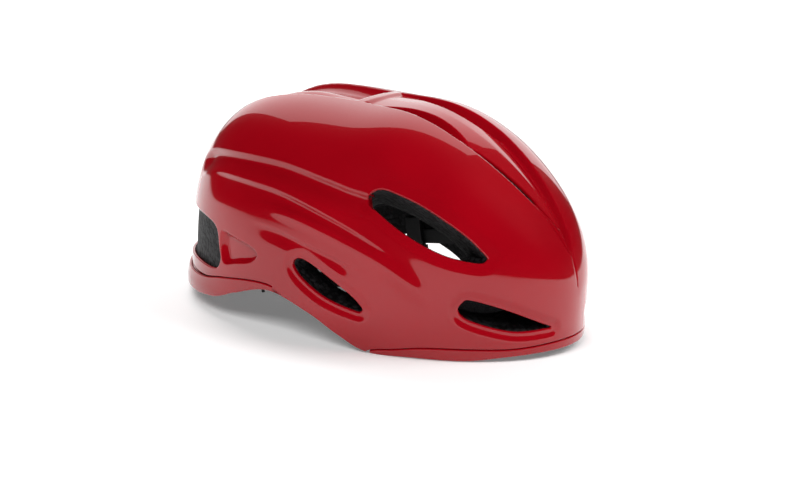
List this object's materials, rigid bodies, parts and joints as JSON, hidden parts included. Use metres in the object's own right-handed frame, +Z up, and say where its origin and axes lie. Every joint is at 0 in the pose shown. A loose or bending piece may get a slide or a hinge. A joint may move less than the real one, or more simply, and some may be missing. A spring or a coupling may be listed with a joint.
{
  "type": "cycling helmet",
  "caption": "Glossy aero road cycling helmet with a centre channel, side vents, black foam liner, dial-adjusted headband and stowed chin straps.",
  "frame": {"origin": "on the ground, under the middle of the helmet's box, with the front of the rim on the ground and the tail held level", "axes": "+X to the helmet's front, +Y to the wearer's left, +Z up"},
  "size_m": [0.299, 0.2106, 0.1498],
  "materials": {
    "red_gloss": "deep red polycarbonate, clear coated",
    "foam": "black expanded polystyrene with its beads showing",
    "pad": "brushed knit over foam",
    "webbing": "flat woven polyester",
    "rubber": "soft moulded rubber",
    "nylon": "flexible nylon",
    "black_plastic": "fine textured acetal"
  },
  "bodies": {
    "root": {"brow_pad": "pad", "buckle_female": "black_plastic", "chin_strap_left": "webbing", "chin_strap_right": "webbing", "crown_pad_front": "pad", "crown_pad_rear": "pad", "divider_left": "black_plastic", "divider_right": "black_plastic", "foam_liner": "foam", "front_anchor_left": "black_plastic", "front_anchor_right": "black_plastic", "front_rim_shell": "red_gloss", "front_strap_left": "webbing", "front_strap_right": "webbing", "height_rack": "black_plastic", "keeper_ring": "rubber", "rear_anchor_left": "black_plastic", "rear_anchor_right": "black_plastic", "rear_rim_shell": "red_gloss", "rear_strap_left": "webbing", "rear_strap_right": "webbing", "side_pad_left": "pad", "side_pad_right": "pad", "temple_stud_left": "black_plastic", "temple_stud_right": "black_plastic", "upper_shell": "red_gloss"},
    "retention": {"cradle": "nylon", "dial_housing": "black_plastic", "housing_cover": "black_plastic", "hanger": "nylon", "nape_pad_left": "pad", "nape_pad_right": "pad", "temple_clip_left": "nylon", "temple_clip_right": "nylon"},
    "dial": {"dial_knob": "black_plastic", "dial_grip": "rubber", "pinion": "nylon"},
    "band_left": {"left_band": "nylon"},
    "band_right": {"right_band": "nylon"},
    "lever_left": {"divider_lever_left": "black_plastic"},
    "lever_right": {"divider_lever_right": "black_plastic"},
    "buckle_tongue": {"buckle_male": "black_plastic"}
  },
  "joints": [
    {"name": "height_adjust", "type": "hinge", "parent": "root", "child": "retention", "pos_m": [0.05, 0, 0.046], "axis": [0, 1, 0], "range_deg": [-4, 3]},
    {"name": "dial_turn", "type": "hinge", "parent": "retention", "child": "dial", "pos_m": [-0.09772, 0, 0.01995], "axis": [-0.9848, 0, -0.1736], "range_deg": [0, 270]},
    {"name": "left_band_slide", "type": "hinge", "parent": "retention", "child": "band_left", "pos_m": [-0.02091, 0, 0.0335], "axis": [-0.1736, 0, 0.9848], "range_deg": [0, 18.3]},
    {"name": "right_band_slide", "type": "hinge", "parent": "retention", "child": "band_right", "pos_m": [-0.02091, 0, 0.0335], "axis": [-0.1736, 0, 0.9848], "range_deg": [-18.3, 0]},
    {"name": "left_divider_lever", "type": "hinge", "parent": "root", "child": "lever_left", "pos_m": [0, 0.06745, 0.07277], "axis": [-1, 0, 0], "range_deg": [0, 75]},
    {"name": "right_divider_lever", "type": "hinge", "parent": "root", "child": "lever_right", "pos_m": [0, -0.06745, 0.07277], "axis": [1, 0, 0], "range_deg": [0, 75]},
    {"name": "buckle_release", "type": "slide", "parent": "root", "child": "buckle_tongue", "axis": [0, 1, 0], "range_m": [0, 0.02], "deforming": ["chin_strap_left"]}
  ],
  "couplings": [
    {"joint": "left_band_slide", "follows": "dial_turn", "ratio": 0.067568},
    {"joint": "right_band_slide", "follows": "dial_turn", "ratio": -0.067568}
  ]
}
